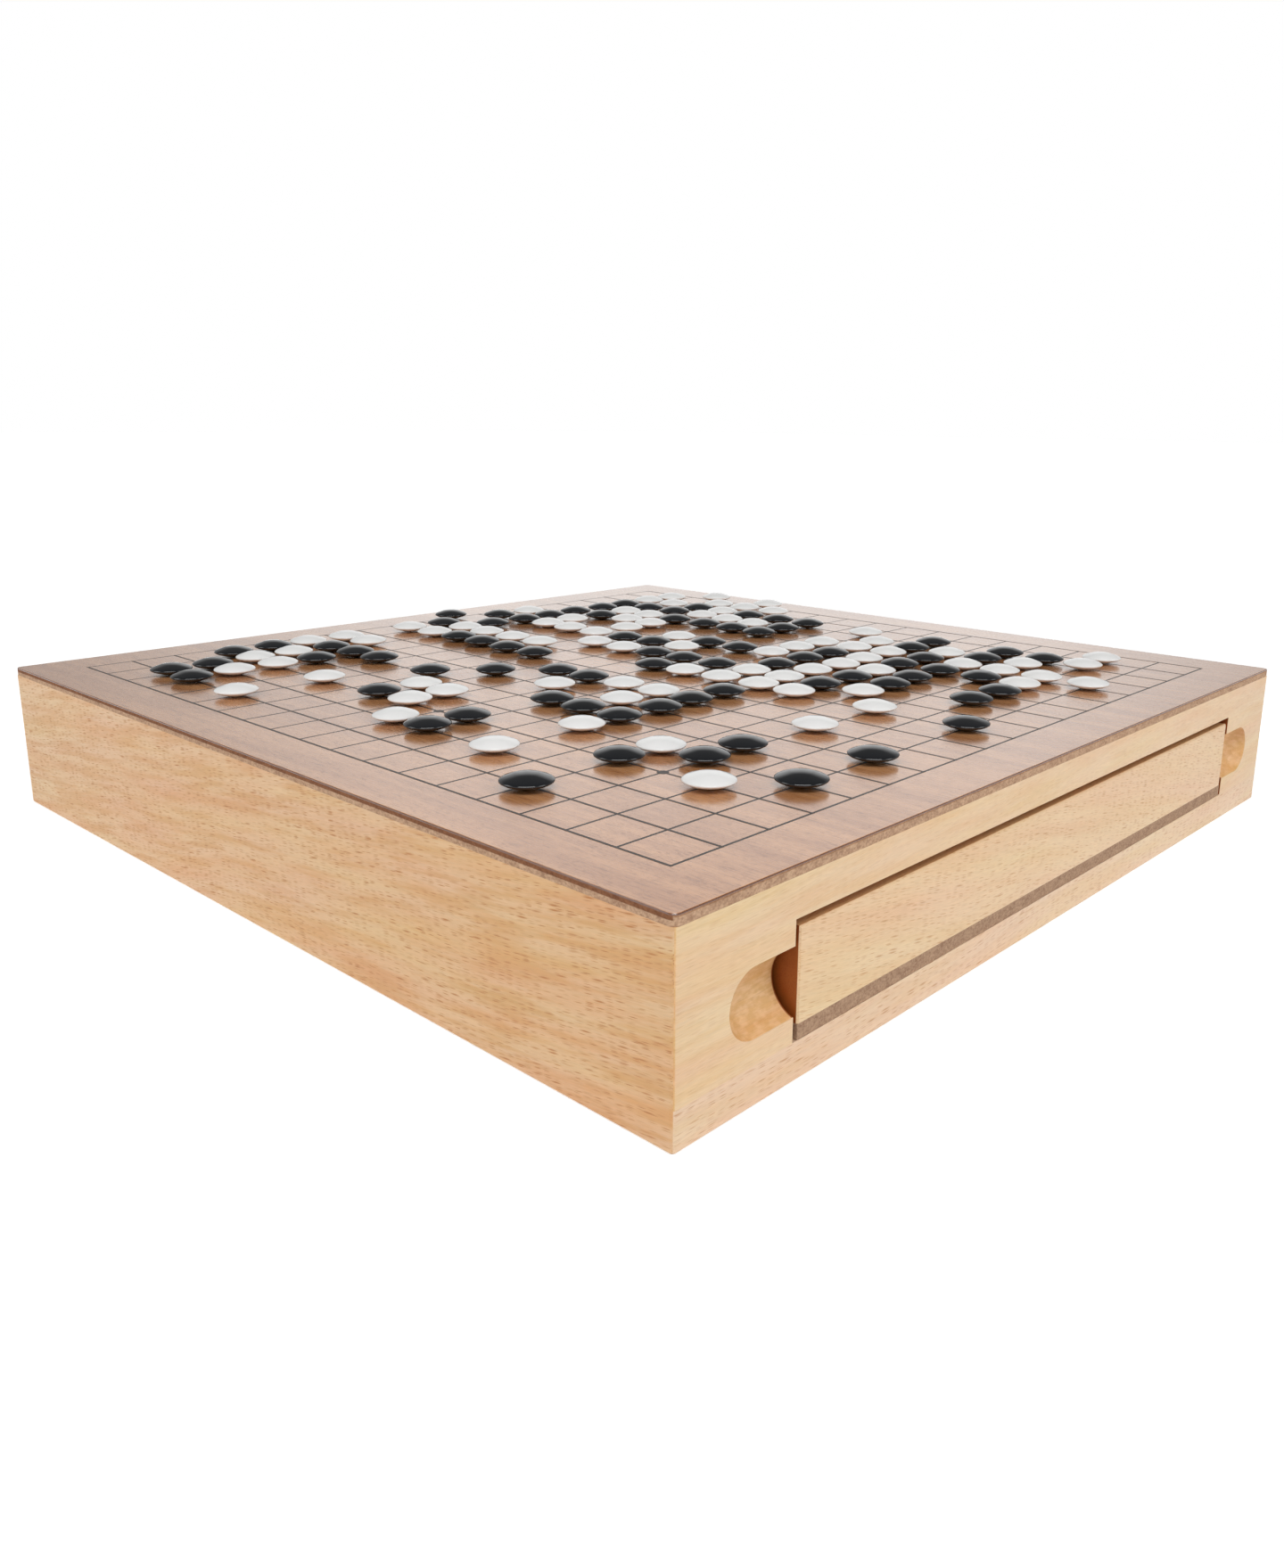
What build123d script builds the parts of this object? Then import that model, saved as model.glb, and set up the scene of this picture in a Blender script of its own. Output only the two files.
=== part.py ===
from build123d import *
import os
from math import sin, sqrt

# Go board on a square beech case with two stone drawers, set out with a game in progress.
# Millimetres, +Z up, origin on the standing face under the middle of the case.
# The front drawer opens along -Y and the rear drawer along +Y.

# Case
board_width = 450.0  # outside width and depth of the square case
case_height = 70.0  # from the standing face to the playing surface
wall = 15.0  # thickness of the four beech walls
corner_round = 1.5  # rounding of the upright mitred corners
top_corner_round = 2.5  # the sheet on top is rounded more than the walls under it
arris = 0.6  # broken edge along the foot of the case and round the drawer faces
top_core = 3.2  # fibreboard under the veneer
veneer = 0.6
veneer_arris = 0.3  # broken edge round the playing surface

# Drawer openings in the front and rear walls
rail_height = 13.3  # lower rail, which is also the sill of the opening
opening_width = 346.6
opening_height = 39.6

# Finger scoops, cut with a round-nosed cutter that runs out into the opening
scoop_radius = 12.0
scoop_depth = 8.4
scoop_reach = 29.2  # from the opening to the end of the scoop

# Inside the case
base_thickness = 4.0
base_recess = 1.0  # the base panel lies this far above the standing face
base_rebate = 6.0  # how far the panel reaches into the walls
fit_gap = 0.3  # round the base panel
runner_width = 30.0
runner_overlap = 20.0  # how far a runner reaches in under the drawer
guide_thickness = 9.0
guide_gap = 0.7  # between a drawer and the guide beside it
divider_thickness = 12.0

# Drawers
side_gap = 2.2  # between the drawer face and the opening at each end
top_gap = 2.9  # above the drawer face
running_gap = 0.2  # between the drawer bottom and the rail and runners
stop_gap = 0.5  # between the closed drawer and the divider
face_thickness = 12.0
tray_bottom = 5.2
tray_wall = 9.0  # sides and back of the drawer
tray_wall_drop = 4.0  # the sides and back stay this far below the top of the face

# Printed grid
line_count = 19
grid_margin = 25.0  # from the edge of the board to the outer lines
line_width = 1.1
line_depth = 0.1  # lines along X are let into the veneer
line_height = 0.05  # lines along Y lie over them
star_diameter = 4.6
star_sides = 12
star_step = 6  # lines from one star point to the next
stars_each_way = 3

# Stones
stone_gap = 3.2  # between two stones on neighbouring crossings
stone_thickness = 5.7
stone_sides = 9
crown_radius = 3.0  # flat middle of each stone's faces
shoulder_radius = 6.5
hand_drift = 1.4  # stones sit a little towards the front left corner
hand_wobble = 0.8  # uneven placing by hand, either way

# The game, seen from above: +Y is at the top, B and W are stones, a dot is a bare crossing
game = """
    ..........B........
    ...BBWW.WB.BW......
    .BBWWBW.WWBBBBBBWW.
    .BWWBB..BW.WWBWBW.W
    .....B..BW.W.WWBBW.
    .W.W....BW.WWWBWWWW
    .....B..B.WB..BWBW.
    ...BW.B...WBW.BWB..
    ...WW..B..BWB.BBB..
    ..W...WB.BB.B......
    ..BB.B.W.WB.WWW.W..
    .....BWW.WWBBBWW...
    ..W.WBBBBWWWWWWBB..
    .........WBBWBBW...
    .B.BW.....WBBBWBB..
    ....BB.W.W...BWWB..
    ...W.......BBWW.WW.
    ....B.B..B....W....
    ...................
"""

# Levels and widths that follow from the sizes above
half_board = board_width / 2
half_inside = half_board - wall
wall_top = case_height - veneer - top_core
base_top = base_recess + base_thickness
opening_top = rail_height + opening_height
opening_middle = rail_height + opening_height / 2
drawer_width = opening_width - 2 * side_gap
drawer_floor = rail_height + running_gap
tray_floor = drawer_floor + tray_bottom
face_top = opening_top - top_gap
tray_wall_top = face_top - tray_wall_drop
drawer_depth = half_board - divider_thickness / 2 - stop_gap
guide_face = drawer_width / 2 + guide_gap
line_spacing = (board_width - 2 * grid_margin) / (line_count - 1)
grid_width = line_spacing * (line_count - 1)
line_length = grid_width + line_width
stone_diameter = line_spacing - stone_gap


def block(x_range, y_range, z_range):
    """A square-edged board between two values on each axis."""
    sizes = [high - low for low, high in (x_range, y_range, z_range)]
    corner = [low for low, high in (x_range, y_range, z_range)]
    return Pos(*corner) * Box(*sizes, align=(Align.MIN, Align.MIN, Align.MIN))


def case_blank(low, high, rounding):
    """The outside of the case between two levels, with its rounded upright corners."""
    outline = RectangleRounded(board_width, board_width, rounding)
    return Pos(0, 0, low) * extrude(outline, high - low)


def mitred_wall(low, high):
    """A board along the front of the case, cut at 45 degrees at both ends."""
    outside = -half_board
    inside = -half_inside
    plan = Polygon(
        (-half_board, outside),
        (half_board, outside),
        (half_inside, inside),
        (-half_inside, inside),
        align=None,
    )
    blank = case_blank(low, high, corner_round)
    return (Pos(0, 0, low) * extrude(plan, high - low)) & blank


def base_seat():
    """The room that the base panel needs in the foot of the walls."""
    reach = half_inside + base_rebate
    return block((-reach, reach), (-reach, reach), (0, base_top))


def foot_chamfer(board):
    """Breaks the outside lower edge of a board that stands on the table."""
    foot = board.edges().filter_by(Axis.X).group_by(Axis.Z)[0].sort_by(Axis.Y)[0]
    return chamfer(foot, arris)


def side_wall():
    """A full-height wall in the front place, with the seat for the base panel."""
    return foot_chamfer(mitred_wall(0, wall_top)) - base_seat()


def lower_rail():
    """The strip under the drawer opening."""
    return foot_chamfer(mitred_wall(0, rail_height)) - base_seat()


def scoop(end):
    """Finger scoop at one end of the opening: end is -1 on the left and 1 on the right."""
    rim_radius = sqrt(scoop_radius**2 - (scoop_radius - scoop_depth) ** 2)
    run = scoop_reach - rim_radius
    centre_y = -half_board - scoop_radius + scoop_depth
    jamb_x = end * opening_width / 2
    nose = Pos(jamb_x + end * run, centre_y, opening_middle) * Sphere(scoop_radius)
    path = Cylinder(scoop_radius, 2 * run, rotation=(0, 90, 0))
    return nose + Pos(jamb_x, centre_y, opening_middle) * path


def opening_wall():
    """The wall over and beside a drawer opening, with a finger scoop at each end."""
    board = mitred_wall(rail_height, wall_top)
    half_opening = opening_width / 2
    opening = block(
        (-half_opening, half_opening), (-half_board, -half_inside), (rail_height, opening_top)
    )
    return board - opening - scoop(-1) - scoop(1)


def line_places():
    """Where the lines lie, from the first to the last."""
    return [line_spacing * number - grid_width / 2 for number in range(line_count)]


def cross_lines():
    """The lines along X, let into the veneer."""
    half_length = line_length / 2
    half_line = line_width / 2
    levels = (case_height - line_depth, case_height)
    return [
        block((-half_length, half_length), (place - half_line, place + half_line), levels)
        for place in line_places()
    ]


def long_lines():
    """The lines along Y, with the star points on three of them."""
    half_length = line_length / 2
    half_line = line_width / 2
    levels = (case_height, case_height + line_height)
    first_star = (line_count - 1 - star_step * (stars_each_way - 1)) // 2
    star_lines = [first_star + star_step * number for number in range(stars_each_way)]
    places = line_places()
    lines = []
    for number, place in enumerate(places):
        line = block((place - half_line, place + half_line), (-half_length, half_length), levels)
        if number in star_lines:
            for row in star_lines:
                dot = extrude(RegularPolygon(star_diameter / 2, star_sides), line_height)
                line += Pos(place, places[row], case_height) * dot
        lines.append(line)
    return lines


def playing_veneer():
    """The veneer with its broken edge and the grooves of the lines along X."""
    sheet = case_blank(case_height - veneer, case_height, top_corner_round)
    rim = sheet.faces().sort_by(Axis.Z)[-1].edges()
    return chamfer(rim, veneer_arris) - cross_lines()


def base_panel():
    """Fibreboard base in the seat that runs round the walls."""
    reach = half_inside + base_rebate - fit_gap
    return block((-reach, reach), (-reach, reach), (base_recess, base_top))


def left_runner():
    """Batten on the base panel that carries the left edge of both drawers."""
    inner_edge = runner_overlap - drawer_width / 2
    return block(
        (inner_edge - runner_width, inner_edge), (-half_inside, half_inside), (base_top, rail_height)
    )


def left_guide():
    """Upright board on the runner that keeps the drawers straight and carries the top."""
    return block(
        (-guide_face - guide_thickness, -guide_face),
        (-half_inside, half_inside),
        (rail_height, wall_top),
    )


def centre_divider():
    """Board between the guides that both drawers stop against."""
    half_divider = divider_thickness / 2
    return block((-guide_face, guide_face), (-half_divider, half_divider), (rail_height, wall_top))


def drawer_boards():
    """The five boards of the front drawer, by name."""
    half_drawer = drawer_width / 2
    front = -half_board
    face_back = front + face_thickness
    rear = front + drawer_depth
    back_front = rear - tray_wall
    tray_levels = (tray_floor, tray_wall_top)
    face = block((-half_drawer, half_drawer), (front, face_back), (tray_floor, face_top))
    front_edges = face.edges().group_by(Axis.Y)[0]
    touching_bottom = front_edges.group_by(Axis.Z)[0]
    face = chamfer(front_edges - touching_bottom, arris)
    return {
        "face": face,
        "bottom": block((-half_drawer, half_drawer), (front, rear), (drawer_floor, tray_floor)),
        "left_side": block(
            (-half_drawer, tray_wall - half_drawer), (face_back, rear), tray_levels
        ),
        "right_side": block(
            (half_drawer - tray_wall, half_drawer), (face_back, rear), tray_levels
        ),
        "back": block(
            (tray_wall - half_drawer, half_drawer - tray_wall), (back_front, rear), tray_levels
        ),
    }


def stone():
    """One lens-shaped stone, standing on its flat middle."""
    rim_radius = stone_diameter / 2
    half_thickness = stone_thickness / 2
    sphere_radius = (rim_radius**2 + half_thickness**2) / stone_thickness
    shoulder_level = sqrt(sphere_radius**2 - shoulder_radius**2) - sphere_radius + half_thickness
    rings = [
        (crown_radius, 0),
        (rim_radius, half_thickness),
        (shoulder_radius, half_thickness + shoulder_level),
        (crown_radius, stone_thickness),
    ]
    outlines = [
        [Vector(corner.X, corner.Y, level) for corner in RegularPolygon(radius, stone_sides).vertices()]
        for radius, level in rings
    ]
    faces = [Face(Wire.make_polygon(outlines[0])), Face(Wire.make_polygon(outlines[-1]))]
    for lower, upper in zip(outlines, outlines[1:]):
        for side in range(stone_sides):
            after = (side + 1) % stone_sides
            band = [lower[side], lower[after], upper[after], upper[side]]
            faces.append(Face(Wire.make_polygon(band)))
    return Solid(Shell(faces))


def stones(colour):
    """All the stones of one colour, resting on the lines at their crossings."""
    one_stone = stone()
    places = line_places()
    placed = []
    for row, line in enumerate(reversed(game.split())):
        for column, mark in enumerate(line):
            if mark == colour:
                x = places[column] - hand_drift + hand_wobble * sin(2.4 * column + 5.1 * row)
                y = places[row] - hand_drift + hand_wobble * sin(4.3 * column + 1.7 * row)
                placed.append(Pos(x, y, case_height + line_height) * one_stone)
    return placed


half_turn = Rot(0, 0, 180)
left_place = Rot(0, 0, -90)
right_place = Rot(0, 0, 90)

nodes = {
    "top_core": case_blank(wall_top, case_height - veneer, top_corner_round),
    "playing_veneer": playing_veneer(),
    "cross_lines": cross_lines(),
    "long_lines": long_lines(),
    "front_wall": opening_wall(),
    "front_lower_rail": lower_rail(),
    "rear_wall": half_turn * opening_wall(),
    "rear_lower_rail": half_turn * lower_rail(),
    "left_wall": left_place * side_wall(),
    "right_wall": right_place * side_wall(),
    "base_panel": base_panel(),
    "left_runner": left_runner(),
    "right_runner": half_turn * left_runner(),
    "left_guide": left_guide(),
    "right_guide": half_turn * left_guide(),
    "centre_divider": centre_divider(),
    "black_stones": stones("B"),
    "white_stones": stones("W"),
}
for name, board in drawer_boards().items():
    nodes["front_drawer_" + name] = board
    nodes["rear_drawer_" + name] = half_turn * board

os.makedirs("parts", exist_ok=True)
for name, shape in nodes.items():
    solids = shape if isinstance(shape, list) else [shape]
    export_step(Compound(children=solids, label=name), f"parts/{name}.step")
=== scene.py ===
from math import asin, degrees, radians, sin

import bpy
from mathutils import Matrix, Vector


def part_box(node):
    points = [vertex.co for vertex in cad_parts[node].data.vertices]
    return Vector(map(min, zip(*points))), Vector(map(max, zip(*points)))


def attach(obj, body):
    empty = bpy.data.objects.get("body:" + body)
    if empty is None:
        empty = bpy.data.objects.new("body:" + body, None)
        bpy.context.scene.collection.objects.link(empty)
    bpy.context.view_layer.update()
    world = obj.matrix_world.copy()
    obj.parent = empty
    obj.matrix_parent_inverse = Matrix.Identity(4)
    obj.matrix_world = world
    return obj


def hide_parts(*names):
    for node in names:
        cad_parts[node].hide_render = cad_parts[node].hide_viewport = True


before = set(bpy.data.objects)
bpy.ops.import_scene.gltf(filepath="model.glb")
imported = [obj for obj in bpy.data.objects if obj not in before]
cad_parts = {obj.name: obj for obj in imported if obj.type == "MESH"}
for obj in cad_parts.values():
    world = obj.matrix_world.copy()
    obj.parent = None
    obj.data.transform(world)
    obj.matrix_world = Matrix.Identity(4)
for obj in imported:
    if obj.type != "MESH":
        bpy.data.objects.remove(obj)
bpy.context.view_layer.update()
bpy.ops.object.select_all(action="DESELECT")


# ---- Base panel -----------------------------------------------------------------------------
# Thin brown fibreboard let into the foot of the walls. Its sawn edges and faces are pressed
# wood fibre, speckled light and dark, with no finish on them.

def connect(tree, node, values):
    """Sets a node's named inputs: a socket is linked, anything else is a value."""
    for name, value in values.items():
        if isinstance(value, bpy.types.NodeSocket):
            tree.links.new(value, node.inputs[name])
        else:
            node.inputs[name].default_value = value


def add_node(tree, kind, values=None, **settings):
    """Places a node with its settings and its inputs."""
    node = tree.nodes.new(kind)
    for name, value in settings.items():
        setattr(node, name, value)
    connect(tree, node, values or {})
    return node


def new_group(name, inputs, outputs):
    """An empty node group with its named sockets, what it is given and the node of its result."""
    group = bpy.data.node_groups.new(name, "ShaderNodeTree")
    for direction, sockets in (("INPUT", inputs), ("OUTPUT", outputs)):
        for label, kind in sockets.items():
            group.interface.new_socket(label, in_out=direction, socket_type="NodeSocket" + kind)
    given = group.nodes.new("NodeGroupInput").outputs
    result = group.nodes.new("NodeGroupOutput")
    return group, given, result


def number_step(tree, step, a, b):
    """One step of sums on two numbers."""
    return add_node(tree, "ShaderNodeMath", {0: a, 1: b}, operation=step).outputs[0]


def vector_step(tree, step, *vectors):
    """One step of sums on a vector, or on two."""
    return add_node(tree, "ShaderNodeVectorMath", dict(enumerate(vectors)), operation=step).outputs[0]


def ramp(tree, value, low, high, start=0.0, end=1.0):
    """A number from start to end as another goes from low to high."""
    node = add_node(tree, "ShaderNodeMapRange", {
        "Value": value, "From Min": low, "From Max": high, "To Min": start, "To Max": end})
    return node.outputs[0]


def blended(tree, factor, a, b, kind="MIX"):
    """Two colours mixed by a factor."""
    node = add_node(tree, "ShaderNodeMix", {0: factor, 6: a, 7: b}, data_type="RGBA", blend_type=kind)
    return node.outputs[2]


def noise(tree, vector, fineness, detail, roughness=0.5):
    """Soft noise. Along each axis, a fineness of 1000 gives spots of about a millimetre."""
    return add_node(tree, "ShaderNodeTexNoise", {
        "Vector": vector_step(tree, "MULTIPLY", vector, fineness),
        "Scale": 1.0, "Detail": detail, "Roughness": roughness})


def relief(tree, height, strength, depth):
    """The fine relief of a surface, from its height."""
    return add_node(tree, "ShaderNodeBump", {
        "Height": height, "Strength": strength, "Distance": depth}).outputs[0]


def new_finish(name, turn=(0.0, 0.0, 0.0)):
    """A material whose pattern is measured on the object, turned to lie along its grain."""
    material = bpy.data.materials.new(name)
    material.use_nodes = True
    tree = material.node_tree
    place = add_node(tree, "ShaderNodeTexCoord").outputs["Object"]
    turned = add_node(tree, "ShaderNodeMapping", {"Vector": place, "Rotation": turn}).outputs[0]
    return material, tree, tree.nodes["Principled BSDF"], turned


def give(material, *nodes):
    """Puts the material on CAD nodes."""
    for name in nodes:
        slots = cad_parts[name].material_slots
        if not slots:
            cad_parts[name].data.materials.append(material)
        for one in slots:
            one.material = material


pressed_fibre, given, result = new_group(
    "pressed_fibre", {"Vector": "Vector", "Light": "Color", "Dark": "Color"},
    {"Color": "Color", "Height": "Float"})
tree = pressed_fibre
fine = noise(tree, given["Vector"], (1100, 1100, 1500), detail=3.0).outputs[0]
coarse = noise(tree, given["Vector"], (160, 160, 420), detail=2.0).outputs[0]
both = number_step(tree, "ADD", fine, number_step(tree, "MULTIPLY", coarse, 0.5))
connect(tree, result, {
    "Color": blended(tree, ramp(tree, both, 0.55, 0.95), given["Dark"], given["Light"]),
    "Height": fine})


def fibreboard(name, light, dark):
    """A bare fibreboard in two tones."""
    material, tree, shader, vector = new_finish(name)
    fibre = add_node(
        tree, "ShaderNodeGroup", {"Vector": vector, "Light": light, "Dark": dark},
        node_tree=pressed_fibre).outputs
    connect(tree, shader, {
        "Base Color": fibre["Color"], "Roughness": 0.8, "Specular IOR Level": 0.3,
        "Normal": relief(tree, fibre["Height"], strength=0.25, depth=0.0002)})
    return material


give(fibreboard("base_fibreboard", light=(0.46, 0.33, 0.22, 1), dark=(0.30, 0.19, 0.11, 1)), "base_panel")


# ---- Walls of the case ----------------------------------------------------------------------
# Solid beech boards, mitred at the corners and sanded, under a thin satin lacquer. Beech is
# pale with soft growth bands and short dark flecks along the grain. The finger scoops are cut
# to a warmer, darker end-grain tone with lighter spots. The inside faces of the drawer openings
# carry a painted shade of deep red-brown, and the side walls are toned darker and warmer than
# the front and rear, partly their own wood and partly painted shade.

def dashes(tree, vector, fineness, edge, kept):
    """Short dashes, one to a cell. Edge is how far from its middle a dash begins and is full.
    Each cell draws a number from 0 to 1, and over the range of kept it brings its dash out."""
    cells = add_node(tree, "ShaderNodeTexVoronoi", {
        "Vector": vector_step(tree, "MULTIPLY", vector, fineness), "Scale": 1.0}).outputs
    number = add_node(tree, "ShaderNodeSeparateColor", {0: cells["Color"]}).outputs[0]
    return number_step(tree, "MULTIPLY", ramp(tree, cells["Distance"], *edge), ramp(tree, number, *kept))


beech_grain, given, result = new_group(
    "beech_grain",
    {"Vector": "Vector", "Pale": "Color", "Deep": "Color", "Fleck Amount": "Float", "Band Fineness": "Float"},
    {"Color": "Color", "Height": "Float", "Roughness": "Float"})
tree = beech_grain
sway = noise(tree, given["Vector"], (7, 7, 7), detail=1.0).outputs["Color"]
sway_width = (0.0, 0.010, 0.010)
swayed = vector_step(tree, "ADD", vector_step(tree, "MULTIPLY", sway, sway_width), given["Vector"])
banded = vector_step(tree, "MULTIPLY", swayed, given["Band Fineness"])

bands = noise(tree, banded, (24, 270, 270), detail=3.0, roughness=0.6).outputs[0]
clouds = noise(tree, banded, (11, 95, 95), detail=2.0).outputs
fibre = noise(tree, swayed, (170, 2600, 2600), detail=2.0).outputs[0]
short_flecks = dashes(tree, swayed, (230, 2500, 2500), edge=(0.55, 0.20), kept=(0.45, 1.0))
long_flecks = dashes(tree, swayed, (130, 1000, 1000), edge=(0.42, 0.12), kept=(0.70, 0.95))
flecks = number_step(
    tree, "MULTIPLY", number_step(tree, "MAXIMUM", long_flecks, short_flecks), given["Fleck Amount"])

fleck_brown = (0.48, 0.19, 0.055, 1)
tone = blended(tree, ramp(tree, bands, 0.42, 0.62), given["Pale"], given["Deep"])
tone = blended(tree, ramp(tree, clouds[0], 0.40, 0.70, 0.0, 0.45), tone, given["Deep"])
tone = blended(tree, 0.12, tone, clouds["Color"], "OVERLAY")
tone = blended(tree, flecks, tone, fleck_brown)
connect(tree, result, {
    "Color": vector_step(tree, "MULTIPLY", tone, ramp(tree, fibre, 0.3, 0.7, 0.95, 1.04)),
    "Height": number_step(tree, "SUBTRACT", number_step(tree, "MULTIPLY", fibre, 0.35), long_flecks),
    "Roughness": ramp(tree, flecks, 0.0, 1.0, 0.40, 0.60)})


def beech(name, turn, pale, deep, fleck_amount, band_fineness=1.0):
    """A beech board: turn lays the grain along the board, pale and deep are its two tones."""
    material, tree, shader, vector = new_finish(name, turn)
    grain = add_node(tree, "ShaderNodeGroup", {
        "Vector": vector, "Pale": pale, "Deep": deep, "Fleck Amount": fleck_amount,
        "Band Fineness": band_fineness}, node_tree=beech_grain).outputs
    connect(tree, shader, {
        "Base Color": grain["Color"], "Roughness": grain["Roughness"], "Specular IOR Level": 0.5,
        "Normal": relief(tree, grain["Height"], strength=0.10, depth=0.0003)})
    return material


cut_and_shade_tint, given, result = new_group(
    "cut_and_shade_tint",
    {"Vector": "Vector", "Color": "Color", "Tint": "Color", "Spot Tint": "Color",
     "From": "Vector", "To": "Vector"},
    {"Color": "Color"})
tree = cut_and_shade_tint
blur = 0.0001
from_middle = vector_step(tree, "ABSOLUTE", given["Vector"])
inside = 1.0
for nearer, farther in ((given["From"], from_middle), (from_middle, given["To"])):
    past = add_node(tree, "ShaderNodeSeparateXYZ", {0: vector_step(tree, "SUBTRACT", farther, nearer)})
    for reach in past.outputs:
        inside = number_step(tree, "MULTIPLY", inside, ramp(tree, reach, -blur, blur))
spots = noise(tree, given["Vector"], (260, 260, 520), detail=3.0).outputs[0]
tint = blended(tree, ramp(tree, spots, 0.42, 0.60), given["Tint"], given["Spot Tint"])
connect(tree, result, {"Color": blended(tree, inside, given["Color"], tint, "MULTIPLY")})

nearest, farthest = -1.0, 1.0  # beyond any place on the board
everywhere = (nearest, farthest)


def tint_cut_and_shade(material, tint, spot_tint=None, x=everywhere, depth=everywhere, z=everywhere):
    """Tints a board in one place, for the colour of a cut and for painted shade and painted bounce
    light in the gaps round the drawers. X, depth and z bound the place, counted outwards from the
    middle of the case. The spot tint lies over the tint in spots, as end grain does."""
    tree = material.node_tree
    shader = tree.nodes["Principled BSDF"]
    tinted = add_node(tree, "ShaderNodeGroup", {
        "Vector": add_node(tree, "ShaderNodeTexCoord").outputs["Object"],
        "Color": shader.inputs["Base Color"].links[0].from_socket,
        "Tint": tint, "Spot Tint": spot_tint or tint,
        "From": (x[0], depth[0], z[0]), "To": (x[1], depth[1], z[1])}, node_tree=cut_and_shade_tint)
    connect(tree, shader, {"Base Color": tinted.outputs["Color"]})


rising_along_y = (radians(7.5), 0.0, radians(90))
# The side walls' darker, warmer tone is partly their own flecked wood and partly painted shade, toned down
# against the front and rear walls.
side_beech = beech(
    "side_wall_beech", rising_along_y, pale=(0.735, 0.485, 0.268, 1), deep=(0.655, 0.36, 0.15, 1),
    fleck_amount=0.95)
give(side_beech, "left_wall", "right_wall")

case_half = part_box("right_wall")[1].x
opening_half = 0.1733
scoop_depth = 0.0084
skin = 0.0002  # the outer face of a board, which keeps its own colour
past_jamb = opening_half + 0.0005
past_scoop = case_half - scoop_depth - 0.0006

almost_along_x = (0.0, radians(1), 0.0)
front_beech = beech(
    "opening_wall_beech", almost_along_x, pale=(0.79, 0.57, 0.355, 1), deep=(0.755, 0.51, 0.285, 1),
    fleck_amount=0.22)
tint_cut_and_shade(front_beech, (0.90, 0.74, 0.50, 1), spot_tint=(1.0, 0.88, 0.72, 1),
         x=(past_jamb, farthest), depth=(past_scoop, case_half - skin))
# Painted shade: the inside faces of the drawer opening are tinted deep red-brown for the shade in the gap
# round the drawer.
tint_cut_and_shade(front_beech, (0.38, 0.13, 0.035, 1), x=(nearest, past_jamb), depth=(nearest, case_half - skin))
give(front_beech, "front_wall", "rear_wall")


# ---- Lower rails ----------------------------------------------------------------------------
# Narrow beech strips under the two drawer openings, cut from a paler board than the wall over
# them and glued to it along a fine straight joint.

along_x = (0.0, 0.0, 0.0)
rail_beech = beech(
    "rail_beech", along_x, pale=(0.785, 0.575, 0.39, 1), deep=(0.755, 0.525, 0.325, 1), fleck_amount=0.65)
give(rail_beech, "front_lower_rail", "rear_lower_rail")


# ---- Runners, guides and divider ------------------------------------------------------------
# Plain planed beech battens inside the case, glued to the base panel and to each other. They
# carry and steer the drawers and have no lacquer.

along_y = (0.0, 0.0, radians(90))
for name, turn, battens in (
        ("inner_beech_x", along_x, ["centre_divider"]),
        ("inner_beech_y", along_y, ["left_runner", "right_runner", "left_guide", "right_guide"])):
    give(beech(name, turn, pale=(0.72, 0.50, 0.29, 1), deep=(0.62, 0.40, 0.21, 1), fleck_amount=0.5),
         *battens)


# ---- Drawers --------------------------------------------------------------------------------
# Each drawer is a beech tray on a fibreboard bottom, which runs through to the front, so its
# sawn brown edge shows under the lacquered face. The ends of the face are end grain, tinted a
# deep red-brown that is partly their own colour and partly painted shade of the gap beside them.
# Its top edge carries a painted warm bounce light, tinted warmer than its front.

face_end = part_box("front_drawer_face")[1].x
face_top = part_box("front_drawer_face")[1].z
face_arris = 0.0006
behind_front = (nearest, case_half - face_arris)

falling_along_x = (0.0, radians(-9.5), 0.0)
face_beech = beech(
    "drawer_face_beech", falling_along_x, pale=(0.79, 0.565, 0.345, 1), deep=(0.765, 0.515, 0.295, 1),
    fleck_amount=0.6, band_fineness=0.6)
# The ends of the face: end grain, darkened further to deep red-brown as painted shade of the narrow gap
# beside them.
tint_cut_and_shade(face_beech, (0.42, 0.155, 0.045, 1), x=(face_end - skin, farthest), depth=behind_front)
# Painted bounce light: the top edge of the face, in the shaded gap under the opening, is tinted a warmer
# orange.
tint_cut_and_shade(face_beech, (1.02, 0.84, 0.64, 1), z=(face_top - skin, farthest), depth=behind_front)
give(face_beech, "front_drawer_face", "rear_drawer_face")

for name, turn, boards in (
        ("tray_beech_y", along_y, ["left_side", "right_side"]),
        ("tray_beech_x", along_x, ["back"])):
    tray_beech = beech(
        name, turn, pale=(0.75, 0.53, 0.32, 1), deep=(0.66, 0.43, 0.24, 1), fleck_amount=0.5)
    for board in boards:
        give(tray_beech, "front_drawer_" + board, "rear_drawer_" + board)

give(fibreboard("drawer_bottom_fibreboard", light=(0.47, 0.31, 0.20, 1), dark=(0.29, 0.17, 0.105, 1)),
     "front_drawer_bottom", "rear_drawer_bottom")


# ---- Top core -------------------------------------------------------------------------------
# The fibreboard sheet glued on the four walls. Its sawn edge shows all round the case as a
# grey-brown stripe between the beech and the veneer. It darkens towards the veneer, most of
# all at the left and right sides.

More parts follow.
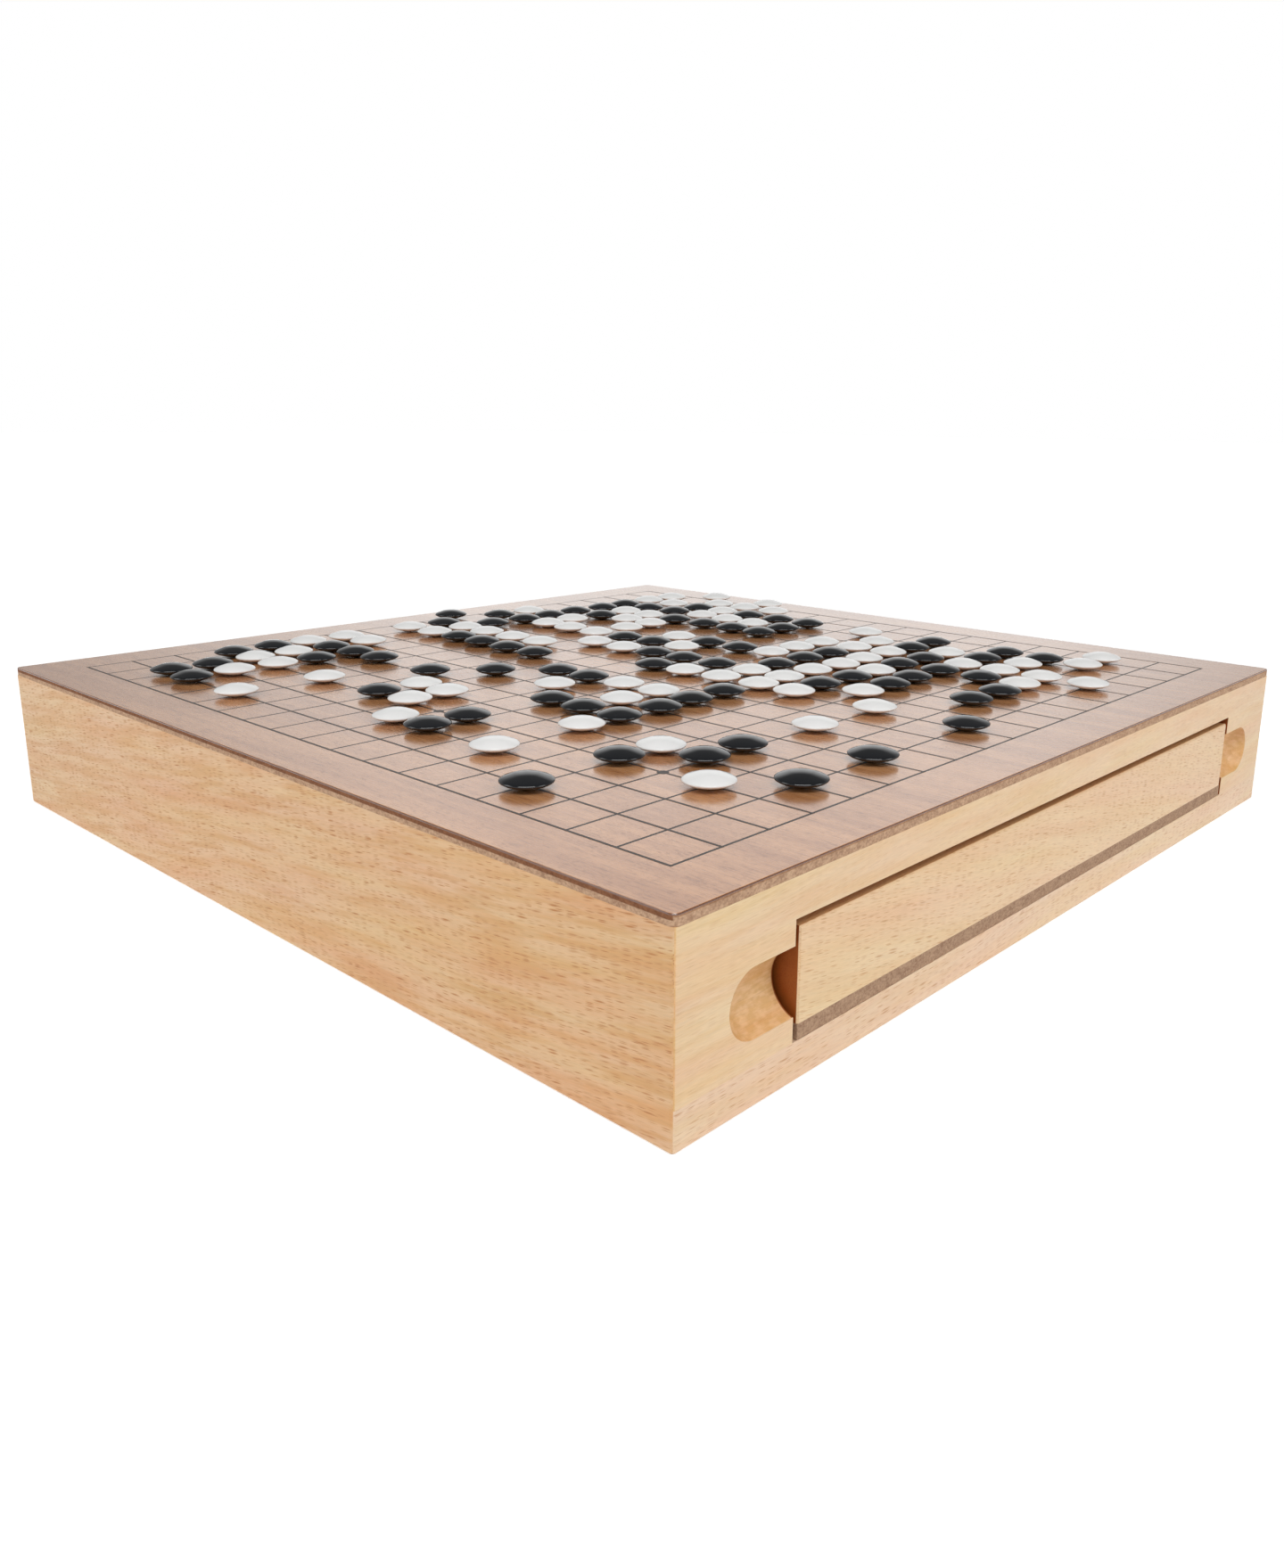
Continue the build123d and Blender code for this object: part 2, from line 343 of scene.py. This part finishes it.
core_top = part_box("top_core")[1].z
side_edge = case_half - 0.0005
core_fibreboard = fibreboard("top_fibreboard", light=(0.60, 0.395, 0.255, 1), dark=(0.35, 0.20, 0.12, 1))
tint_cut_and_shade(core_fibreboard, (0.45, 0.29, 0.20, 1), x=(side_edge, farthest), z=(core_top - 0.0014, farthest))
tint_cut_and_shade(core_fibreboard, (0.75, 0.62, 0.52, 1), x=(nearest, side_edge), z=(core_top - 0.0005, farthest))
give(core_fibreboard, "top_core")


# ---- Playing surface ------------------------------------------------------------------------
# Red-brown open-pored veneer laid along the case, lacquered to a satin sheen that mirrors pale
# at a low view. The short pores lie along the grain and break the sheen up. Its sanded edge is
# darker than its face.

pale_ribbon = (0.64, 0.308, 0.132, 1)
deep_ribbon = (0.445, 0.186, 0.071, 1)
light_thread = (0.60, 0.31, 0.15, 1)
dark_thread = (0.24, 0.088, 0.030, 1)
pore_brown = (0.20, 0.075, 0.026, 1)
edge_brown = (0.14, 0.048, 0.020, 1)

veneer, tree, shader, vector = new_finish("playing_veneer", along_y)
ribbons = noise(tree, vector, (9, 120, 120), detail=4.0, roughness=0.6).outputs[0]
threads = noise(tree, vector, (120, 1600, 1600), detail=2.0).outputs[0]
pores = dashes(tree, vector, (420, 2200, 2200), edge=(0.50, 0.22), kept=(0.2, 0.7))
tone = blended(tree, ramp(tree, ribbons, 0.38, 0.62), pale_ribbon, deep_ribbon)
tone = blended(tree, ramp(tree, threads, 0.35, 0.65, 0.0, 0.35), tone, light_thread)
tone = blended(tree, ramp(tree, threads, 0.47, 0.32, 0.0, 0.6), tone, dark_thread)
tone = blended(tree, number_step(tree, "MULTIPLY", pores, 0.5), tone, pore_brown)

veneer_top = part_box("playing_veneer")[1].z
level = add_node(tree, "ShaderNodeSeparateXYZ", {0: vector}).outputs[2]
on_edge = ramp(tree, level, veneer_top - 0.00006, veneer_top - 0.00014)
height = number_step(tree, "SUBTRACT", number_step(tree, "MULTIPLY", threads, 0.5), pores)
connect(tree, shader, {
    "Base Color": blended(tree, on_edge, tone, edge_brown),
    "Roughness": ramp(tree, pores, 0.0, 1.0, 0.26, 0.40), "Specular IOR Level": 0.4,
    "Coat Weight": 1.0, "Coat Roughness": 0.17,
    "Normal": relief(tree, height, strength=0.05, depth=0.0002)})
give(veneer, "playing_veneer")


# ---- Printed lines and star points ----------------------------------------------------------
# Nineteen lines each way and nine star points, printed on the veneer in black ink. The ink has
# a satin sheen, so the lines look grey at a low view.

ink, tree, shader, vector = new_finish("line_ink")
patches = noise(tree, vector, (900, 900, 900), detail=2.0).outputs[0]
connect(tree, shader, {
    "Base Color": blended(tree, patches, (0.026, 0.018, 0.015, 1), (0.060, 0.044, 0.036, 1)),
    "Roughness": ramp(tree, patches, 0.3, 0.7, 0.32, 0.44), "Specular IOR Level": 0.35})
give(ink, "cross_lines", "long_lines")


# ---- Stones ---------------------------------------------------------------------------------
# Lens-shaped stones of polished glass, black and white, set out in a game on the crossings. Each
# one touches the board only in the middle of its underside.

line_count = 19
grid_width = 0.4
line_spacing = grid_width / (line_count - 1)
middle_line = (line_count - 1) / 2
stone_gap = 0.0032  # between two stones on neighbouring crossings
stone_diameter = line_spacing - stone_gap
board_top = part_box("black_stones")[0].z
stone_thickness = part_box("black_stones")[1].z - board_top
rim_width = 0.0010
hand_drift = 0.0014  # the stones sit a little towards the front left corner
hand_wobble = 0.0008  # uneven placing by hand, either way
x_wobble = (2.4, 5.1)  # radians that the wobble swings on from column to column and row to row
y_wobble = (4.3, 1.7)
game = """
    ..........B........
    ...BBWW.WB.BW......
    .BBWWBW.WWBBBBBBWW.
    .BWWBB..BW.WWBWBW.W
    .....B..BW.W.WWBBW.
    .W.W....BW.WWWBWWWW
    .....B..B.WB..BWBW.
    ...BW.B...WBW.BWB..
    ...WW..B..BWB.BBB..
    ..W...WB.BB.B......
    ..BB.B.W.WB.WWW.W..
    .....BWW.WWBBBWW...
    ..W.WBBBBWWWWWWBB..
    .........WBBWBBW...
    .B.BW.....WBBBWBB..
    ....BB.W.W...BWWB..
    ...W.......BBWW.WW.
    ....B.B..B....W....
    ...................
"""


def lens_stone():
    """One stone at the origin: a slice of a sphere, mirrored, with its rim rounded over."""
    sharp_radius = stone_diameter / 2 + rim_width
    sphere_radius = (sharp_radius ** 2 + (stone_thickness / 2) ** 2) / stone_thickness
    rim_angle = degrees(asin(sharp_radius / sphere_radius))
    rings = 2.6  # from crown to rim: not a whole number, as a ring on the cut would spoil the rim
    bpy.ops.mesh.primitive_uv_sphere_add(
        segments=24, ring_count=round(180 / (rim_angle / rings)), radius=sphere_radius,
        location=(0, 0, stone_thickness / 2 - sphere_radius))
    bpy.ops.object.transform_apply(location=True)
    bpy.ops.object.mode_set(mode="EDIT")
    bpy.ops.mesh.select_all(action="SELECT")
    bpy.ops.mesh.bisect(plane_co=(0, 0, 0), plane_no=(0, 0, 1), clear_inner=True)
    bpy.ops.object.mode_set(mode="OBJECT")
    half = bpy.context.object
    mirror = half.modifiers.new("underside", "MIRROR")
    mirror.use_axis = (False, False, True)
    mirror.merge_threshold = 0.00002
    bpy.ops.object.modifier_apply(modifier=mirror.name)
    rim = half.modifiers.new("rim", "BEVEL")
    rim.width = rim_width
    rim.segments = 4
    rim.limit_method = "ANGLE"
    rim.angle_limit = radians(60)
    bpy.ops.object.modifier_apply(modifier=rim.name)
    bpy.ops.object.mode_set(mode="EDIT")
    bpy.ops.mesh.select_all(action="SELECT")
    bpy.ops.mesh.normals_make_consistent(inside=False)
    bpy.ops.transform.translate(value=(0, 0, stone_thickness / 2))
    bpy.ops.object.mode_set(mode="OBJECT")
    bpy.ops.object.shade_smooth()
    return half


def off_crossing(column, row, wobble):
    """How far a hand sets a stone beside its crossing, along one axis."""
    return hand_wobble * sin(wobble[0] * column + wobble[1] * row) - hand_drift


def set_of_stones(mark, name):
    """Every stone of one colour, each copied to its own crossing and joined to one object."""
    bpy.ops.object.select_all(action="DESELECT")
    first = lens_stone()
    copies = []
    for row, line in enumerate(reversed(game.split())):
        for column, found in enumerate(line):
            if found == mark:
                x = line_spacing * (column - middle_line) + off_crossing(column, row, x_wobble)
                y = line_spacing * (row - middle_line) + off_crossing(column, row, y_wobble)
                copy = first.copy()
                copy.data = first.data.copy()
                copy.location = (x, y, board_top)
                bpy.context.scene.collection.objects.link(copy)
                copies.append(copy)
    bpy.data.objects.remove(first)
    bpy.ops.object.select_all(action="DESELECT")
    for copy in copies:
        copy.select_set(True)
    bpy.context.view_layer.objects.active = copies[0]
    bpy.ops.object.join()
    whole = bpy.context.object
    bpy.ops.object.transform_apply(location=True, rotation=True, scale=True)
    whole.name = name
    return whole


def stone_glass(name, colour, second, rough, level):
    """Polished glass in two near tones, mixed in patches about as wide as a stone."""
    material, tree, shader, vector = new_finish(name)
    patch = add_node(tree, "ShaderNodeTexVoronoi", {"Vector": vector, "Scale": 45.0}).outputs["Color"]
    tone = add_node(tree, "ShaderNodeSeparateColor", {0: patch}).outputs[0]
    cloud = noise(tree, vector, (260, 260, 260), detail=2.0).outputs[0]
    mixed = number_step(
        tree, "ADD", number_step(tree, "MULTIPLY", tone, 0.6), number_step(tree, "MULTIPLY", cloud, 0.4))
    connect(tree, shader, {
        "Base Color": blended(tree, mixed, colour, second), "Specular IOR Level": level,
        "Roughness": ramp(tree, cloud, 0.3, 0.7, rough, rough + 0.05)})
    return material


black_glass = stone_glass(
    "black_glass", (0.003, 0.004, 0.006, 1), (0.006, 0.007, 0.010, 1), rough=0.04, level=0.7)
black_set = set_of_stones("B", "black_glass_stones")
black_set.data.materials.append(black_glass)
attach(black_set, "black_stones")
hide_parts("black_stones")

white_glass = stone_glass(
    "white_glass", (0.81, 0.81, 0.805, 1), (0.85, 0.845, 0.835, 1), rough=0.10, level=0.4)
white_set = set_of_stones("W", "white_glass_stones")
white_set.data.materials.append(white_glass)
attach(white_set, "white_stones")
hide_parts("white_stones")


# ---- Floor, lights and camera ---------------------------------------------------------------
# A white sweep of floor, open under the case and from below, and a bright surround that darkens
# overhead. Soft lamps stand in front and at the left, and a long narrow one above draws a light
# on every rim.

bpy.ops.mesh.primitive_plane_add(size=24, location=(0, 0, 0))
floor = bpy.context.object
floor.name = "floor"
floor_white, tree, shader, vector = new_finish("floor_white")
rays = add_node(tree, "ShaderNodeLightPath").outputs
away = add_node(tree, "ShaderNodeVectorMath", {0: vector}, operation="LENGTH").outputs["Value"]
mirrored = number_step(tree, "MAXIMUM", rays["Is Camera Ray"], rays["Is Glossy Ray"])
glow = number_step(tree, "MULTIPLY", mirrored, ramp(tree, away, 0.6, 2.5, 0.46, 1.0))
from_below = add_node(tree, "ShaderNodeNewGeometry").outputs["Backfacing"]
from_above = ramp(tree, from_below, 0.0, 1.0, 1.0, 0.0)
spread = add_node(tree, "ShaderNodeSeparateXYZ", {0: vector_step(tree, "ABSOLUTE", vector)}).outputs
out_to = number_step(tree, "MAXIMUM", spread[0], spread[1])
clear_of_case = ramp(tree, out_to, case_half - 0.0010, case_half - 0.0005)
connect(tree, shader, {
    "Base Color": (0.86, 0.86, 0.86, 1), "Roughness": 0.9, "Specular IOR Level": 0.0,
    "Emission Color": (1, 1, 1, 1), "Emission Strength": glow,
    "Alpha": number_step(tree, "MULTIPLY", from_above, clear_of_case)})
floor.data.materials.append(floor_white)

world = bpy.data.worlds.new("surround")
bpy.context.scene.world = world
world.use_nodes = True
tree = world.node_tree
direction = add_node(tree, "ShaderNodeTexCoord").outputs["Generated"]
toward = add_node(tree, "ShaderNodeSeparateXYZ", {0: direction}).outputs
heading = number_step(tree, "ARCTAN2", toward[1], toward[0])
all_round = add_node(tree, "ShaderNodeValToRGB", {0: ramp(tree, heading, radians(-180), radians(180))})
ends = all_round.color_ramp.elements
brightness = {-60: 0.8, -30: 0.45, 12: 0.45, 26: 1.02, 54: 1.02, 70: 0.46, 120: 0.46, 150: 0.8}
for number, (angle, shade) in enumerate(brightness.items()):
    stop = ends[number] if number < 2 else ends.new(1.0)
    stop.position = (angle + 180) / 360
    stop.color = (shade, shade, shade, 1)
overhead = ramp(tree, toward[2], 0.38, 0.60)
surround = blended(tree, overhead, all_round.outputs[0], (0.20, 0.198, 0.192, 1))
seen = add_node(tree, "ShaderNodeLightPath").outputs["Is Camera Ray"]
connect(tree, tree.nodes["Background"], {
    "Color": blended(tree, seen, surround, (1, 1, 1, 1)), "Strength": 1.0})


def soft_lamp(name, place, aim, width, height, watts):
    """A flat lamp turned to its aim."""
    lamp = bpy.data.lights.new(name, "AREA")
    lamp.shape = "RECTANGLE"
    lamp.size = width
    lamp.size_y = height
    lamp.energy = watts
    holder = bpy.data.objects.new(name, lamp)
    holder.location = place
    holder.rotation_euler = (Vector(aim) - Vector(place)).to_track_quat("-Z", "Y").to_euler()
    holder.visible_camera = False
    bpy.context.scene.collection.objects.link(holder)


soft_lamp("front_softbox", place=(0.9, -2.2, 1.3), aim=(0, -0.1, 0.05), width=1.2, height=1.2, watts=13)
soft_lamp("left_softbox", place=(-1.2, 0.8, 0.9), aim=(-0.1, 0, 0.05), width=0.8, height=0.8, watts=4.5)
soft_lamp("overhead_strip", place=(-0.75, -0.75, 1.5), aim=(0, 0, 0.07), width=1.6, height=0.33, watts=16)

camera = bpy.data.cameras.new("camera")
camera.lens = 28.0226
camera.sensor_width = 36
camera.shift_x = -0.0245
camera.shift_y = -0.0371
camera.clip_start = 0.01
viewer = bpy.data.objects.new("camera", camera)
viewer.location = (-0.43783, -0.42319, 0.19330)
viewer.rotation_euler = (radians(75.84245), radians(-0.49340), radians(-47.12099))
bpy.context.scene.collection.objects.link(viewer)
bpy.context.scene.camera = viewer
bpy.context.scene.view_settings.view_transform = "Standard"
